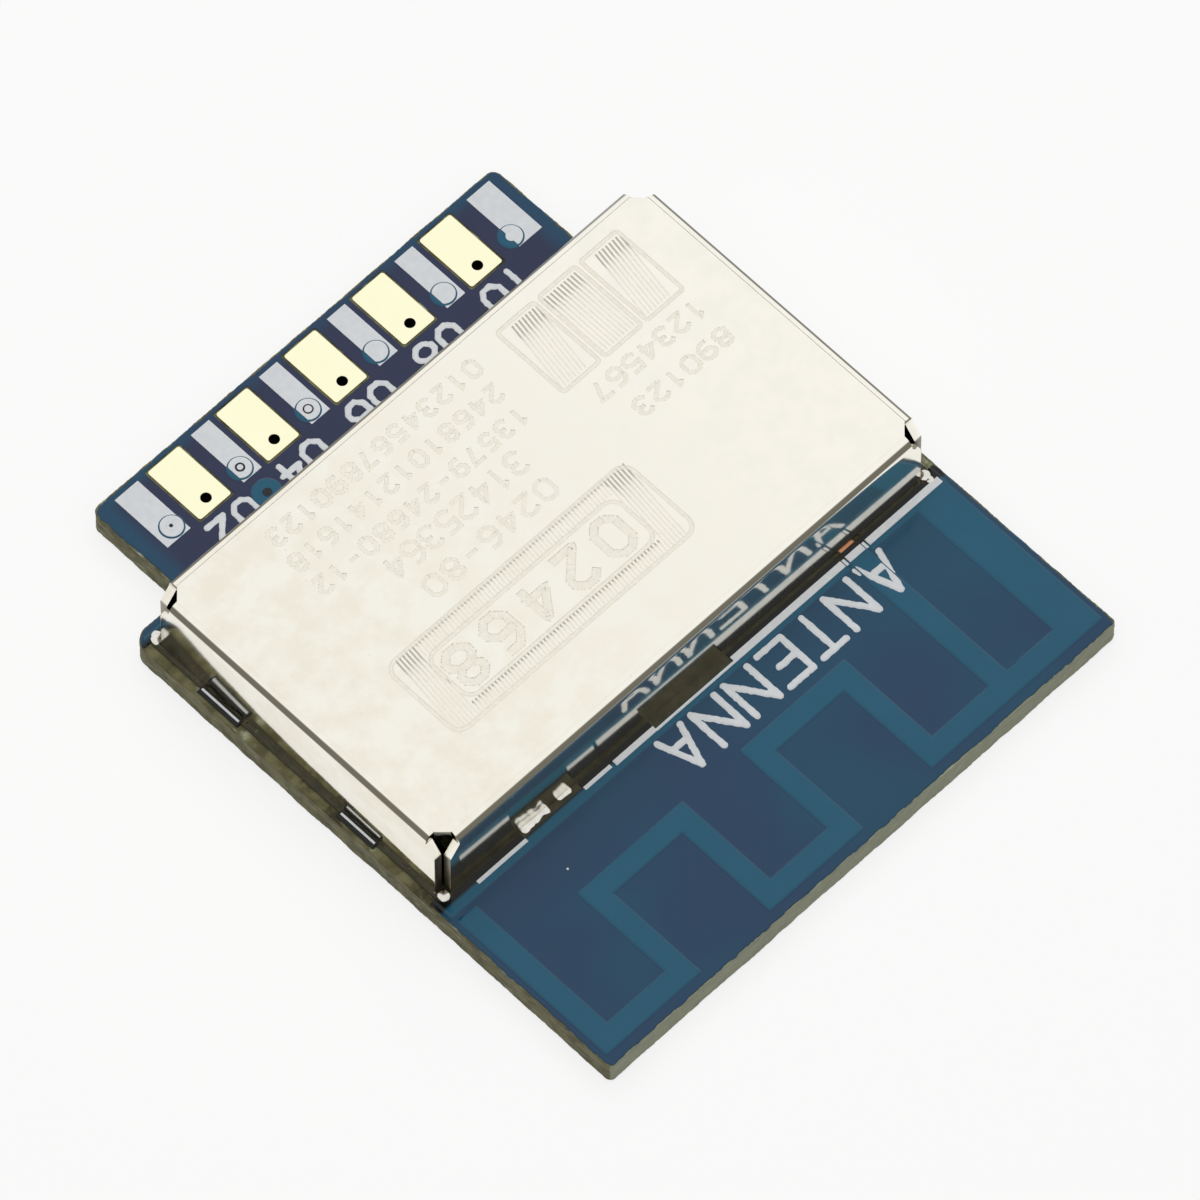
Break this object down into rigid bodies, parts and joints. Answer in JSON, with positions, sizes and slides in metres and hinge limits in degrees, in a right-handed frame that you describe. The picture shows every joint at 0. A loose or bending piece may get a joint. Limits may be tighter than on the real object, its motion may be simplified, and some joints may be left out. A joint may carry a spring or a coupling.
{
  "type": "wifi module",
  "caption": "Small wireless module: a T-shaped circuit board with a meander antenna, a folded metal shield can over its chip, and a tongue of gold edge contacts on both sides.",
  "frame": {"origin": "middle of the underside, on the plane that the module rests on", "axes": "+X across the board, +Y from the antenna edge to the contact tongue, +Z out of the side that carries the shield can"},
  "size_m": [0.0148, 0.017, 0.0027],
  "materials": {
    "laminate": "cut glass-fibre board",
    "copper": "copper foil, dull with flux and solder where the mask leaves it bare",
    "solder_mask": "glossy dark blue lacquer",
    "white_ink": "printed white ink",
    "can_sheet": "satin plated sheet",
    "solder": "bright solder",
    "gold_plating": "pale gold plating",
    "chip_resin": "moulded black resin",
    "crystal_ceramic": "ceramic",
    "capacitor_ceramic": "ceramic",
    "inductor_ceramic": "ceramic"
  },
  "bodies": {
    "root": {"board_core": "laminate", "ground_copper": "copper", "antenna_track": "copper", "top_solder_mask": "solder_mask", "bottom_solder_mask": "solder_mask", "printed_marks": "white_ink", "tented_hole": "copper", "shield_can": "can_sheet", "front_solder": "solder", "side_solder": "solder", "corner_solder": "solder", "component_lands": "gold_plating", "main_chip": "chip_resin", "chip_lead_frame": "gold_plating", "crystal_case": "crystal_ceramic", "crystal_lid": "can_sheet", "front_contact_1": "gold_plating", "front_contact_2": "gold_plating", "front_contact_3": "gold_plating", "front_contact_4": "gold_plating", "front_contact_5": "gold_plating", "rear_contact_1": "gold_plating", "rear_contact_2": "gold_plating", "rear_contact_3": "gold_plating", "rear_contact_4": "gold_plating", "rear_contact_5": "gold_plating", "rear_contact_6": "gold_plating", "capacitor_1": "capacitor_ceramic", "capacitor_2": "capacitor_ceramic", "capacitor_3": "capacitor_ceramic", "capacitor_4": "capacitor_ceramic", "capacitor_5": "capacitor_ceramic", "capacitor_6": "capacitor_ceramic", "capacitor_7": "capacitor_ceramic", "capacitor_8": "capacitor_ceramic", "resistor_1": "chip_resin", "resistor_2": "chip_resin", "resistor_3": "chip_resin", "resistor_4": "chip_resin", "inductor_1": "inductor_ceramic", "inductor_2": "inductor_ceramic", "capacitor_ends": "solder", "resistor_ends": "solder", "inductor_ends": "solder"}
  },
  "joints": []
}
